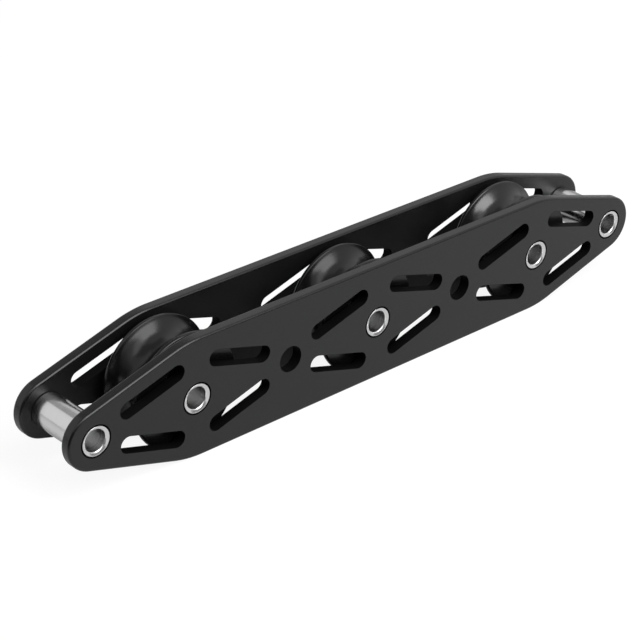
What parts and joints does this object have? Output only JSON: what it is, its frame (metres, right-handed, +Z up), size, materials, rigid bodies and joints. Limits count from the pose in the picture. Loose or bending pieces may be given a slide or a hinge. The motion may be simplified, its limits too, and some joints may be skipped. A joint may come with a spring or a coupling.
{
  "type": "in-line triple sheave block",
  "caption": "Long in-line block: grooved sheaves on ball bearings between two slotted black side plates, joined by flared hollow steel tubes.",
  "frame": {"origin": "centre of the block, on the middle sheave's axis and midway between the plates", "axes": "+X along the plates from the left end spacer to the right one, +Y along the axles from the front plate to the back plate, +Z up from the lower long edges to the upper ones"},
  "size_m": [0.36, 0.0408, 0.0602],
  "materials": {
    "side_plate": "hard anodised, satin black",
    "sheave": "turned and anodised, semi-gloss black",
    "polished_tube": "polished stainless steel",
    "bearing_steel": "ground bearing steel",
    "collar_steel": "turned stainless steel",
    "bearing_cage": "moulded natural nylon",
    "bearing_seal": "moulded nitrile rubber"
  },
  "bodies": {
    "frame": {"side_plate_front": "side_plate", "side_plate_back": "side_plate", "end_spacer_left": "polished_tube", "end_spacer_right": "polished_tube", "axle_tube_1": "polished_tube", "bearing_inner_race_1": "bearing_steel", "axle_collar_front_1": "collar_steel", "axle_collar_back_1": "collar_steel", "axle_tube_2": "polished_tube", "bearing_inner_race_2": "bearing_steel", "axle_collar_front_2": "collar_steel", "axle_collar_back_2": "collar_steel", "axle_tube_3": "polished_tube", "bearing_inner_race_3": "bearing_steel", "axle_collar_front_3": "collar_steel", "axle_collar_back_3": "collar_steel"},
    "sheave_1_turning": {"sheave_1": "sheave", "bearing_outer_race_1": "bearing_steel", "bearing_seal_front_1": "bearing_seal", "bearing_seal_back_1": "bearing_seal"},
    "cage_1_turning": {"bearing_cage_1": "bearing_cage", "ball_1_1": "bearing_steel", "ball_1_2": "bearing_steel", "ball_1_3": "bearing_steel", "ball_1_4": "bearing_steel", "ball_1_5": "bearing_steel", "ball_1_6": "bearing_steel", "ball_1_7": "bearing_steel", "ball_1_8": "bearing_steel", "ball_1_9": "bearing_steel"},
    "sheave_2_turning": {"sheave_2": "sheave", "bearing_outer_race_2": "bearing_steel", "bearing_seal_front_2": "bearing_seal", "bearing_seal_back_2": "bearing_seal"},
    "cage_2_turning": {"bearing_cage_2": "bearing_cage", "ball_2_1": "bearing_steel", "ball_2_2": "bearing_steel", "ball_2_3": "bearing_steel", "ball_2_4": "bearing_steel", "ball_2_5": "bearing_steel", "ball_2_6": "bearing_steel", "ball_2_7": "bearing_steel", "ball_2_8": "bearing_steel", "ball_2_9": "bearing_steel"},
    "sheave_3_turning": {"sheave_3": "sheave", "bearing_outer_race_3": "bearing_steel", "bearing_seal_front_3": "bearing_seal", "bearing_seal_back_3": "bearing_seal"},
    "cage_3_turning": {"bearing_cage_3": "bearing_cage", "ball_3_1": "bearing_steel", "ball_3_2": "bearing_steel", "ball_3_3": "bearing_steel", "ball_3_4": "bearing_steel", "ball_3_5": "bearing_steel", "ball_3_6": "bearing_steel", "ball_3_7": "bearing_steel", "ball_3_8": "bearing_steel", "ball_3_9": "bearing_steel"}
  },
  "joints": [
    {"name": "sheave_1_spin", "type": "hinge", "parent": "frame", "child": "sheave_1_turning", "pos_m": [-0.11, 0, 0], "axis": [0, 1, 0], "continuous": true},
    {"name": "cage_1_spin", "type": "hinge", "parent": "frame", "child": "cage_1_turning", "pos_m": [-0.11, 0, 0], "axis": [0, 1, 0], "continuous": true},
    {"name": "sheave_2_spin", "type": "hinge", "parent": "frame", "child": "sheave_2_turning", "pos_m": [0, 0, 0], "axis": [0, 1, 0], "continuous": true},
    {"name": "cage_2_spin", "type": "hinge", "parent": "frame", "child": "cage_2_turning", "pos_m": [0, 0, 0], "axis": [0, 1, 0], "continuous": true},
    {"name": "sheave_3_spin", "type": "hinge", "parent": "frame", "child": "sheave_3_turning", "pos_m": [0.11, 0, 0], "axis": [0, 1, 0], "continuous": true},
    {"name": "cage_3_spin", "type": "hinge", "parent": "frame", "child": "cage_3_turning", "pos_m": [0.11, 0, 0], "axis": [0, 1, 0], "continuous": true}
  ],
  "couplings": [
    {"joint": "cage_1_spin", "follows": "sheave_1_spin", "ratio": 0.59},
    {"joint": "cage_2_spin", "follows": "sheave_2_spin", "ratio": 0.59},
    {"joint": "cage_3_spin", "follows": "sheave_3_spin", "ratio": 0.59}
  ]
}
